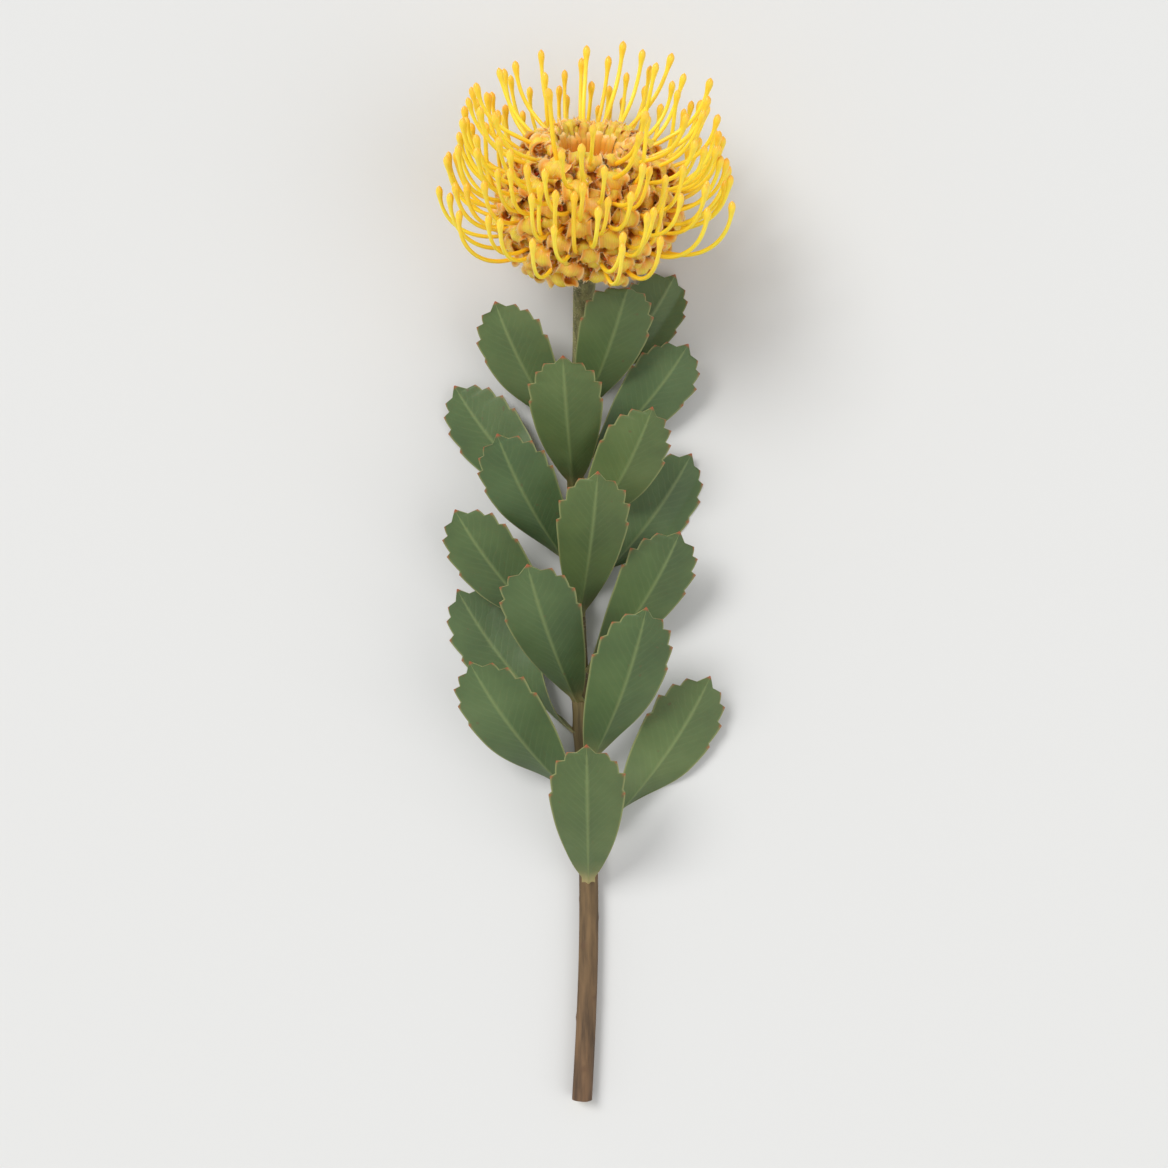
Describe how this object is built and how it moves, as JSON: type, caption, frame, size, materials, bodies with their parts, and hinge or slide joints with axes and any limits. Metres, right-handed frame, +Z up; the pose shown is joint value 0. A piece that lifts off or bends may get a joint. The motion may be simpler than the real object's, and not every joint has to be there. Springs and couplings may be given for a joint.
{
  "type": "cut pincushion protea flower",
  "caption": "Cut pincushion protea lying on its side: a domed bloom of long curved styles on a woody stem with toothed, leathery leaves.",
  "frame": {"origin": "on the surface the flower lies on, under the middle of its bounding box", "axes": "+Y along the stem from the cut end to the bloom, +Z up, +X to the right"},
  "size_m": [0.1076, 0.3936, 0.1001],
  "materials": {
    "stem_bark": "downy green-brown bark",
    "leaf": "matt grey-green leathery blade",
    "bract": "hairy green-brown bracts",
    "bloom": "golden yellow styles and cream to salmon perianths"
  },
  "bodies": {
    "root": {"stem": "stem_bark", "leaf_01": "leaf", "leaf_02": "leaf", "leaf_03": "leaf", "leaf_04": "leaf", "leaf_05": "leaf", "leaf_06": "leaf", "leaf_07": "leaf", "leaf_08": "leaf", "leaf_09": "leaf", "leaf_10": "leaf", "leaf_11": "leaf", "leaf_12": "leaf", "leaf_13": "leaf", "leaf_14": "leaf", "leaf_15": "leaf", "leaf_16": "leaf", "leaf_17": "leaf", "leaf_18": "leaf", "involucre": "bract", "flower_head": "bloom"}
  },
  "joints": []
}
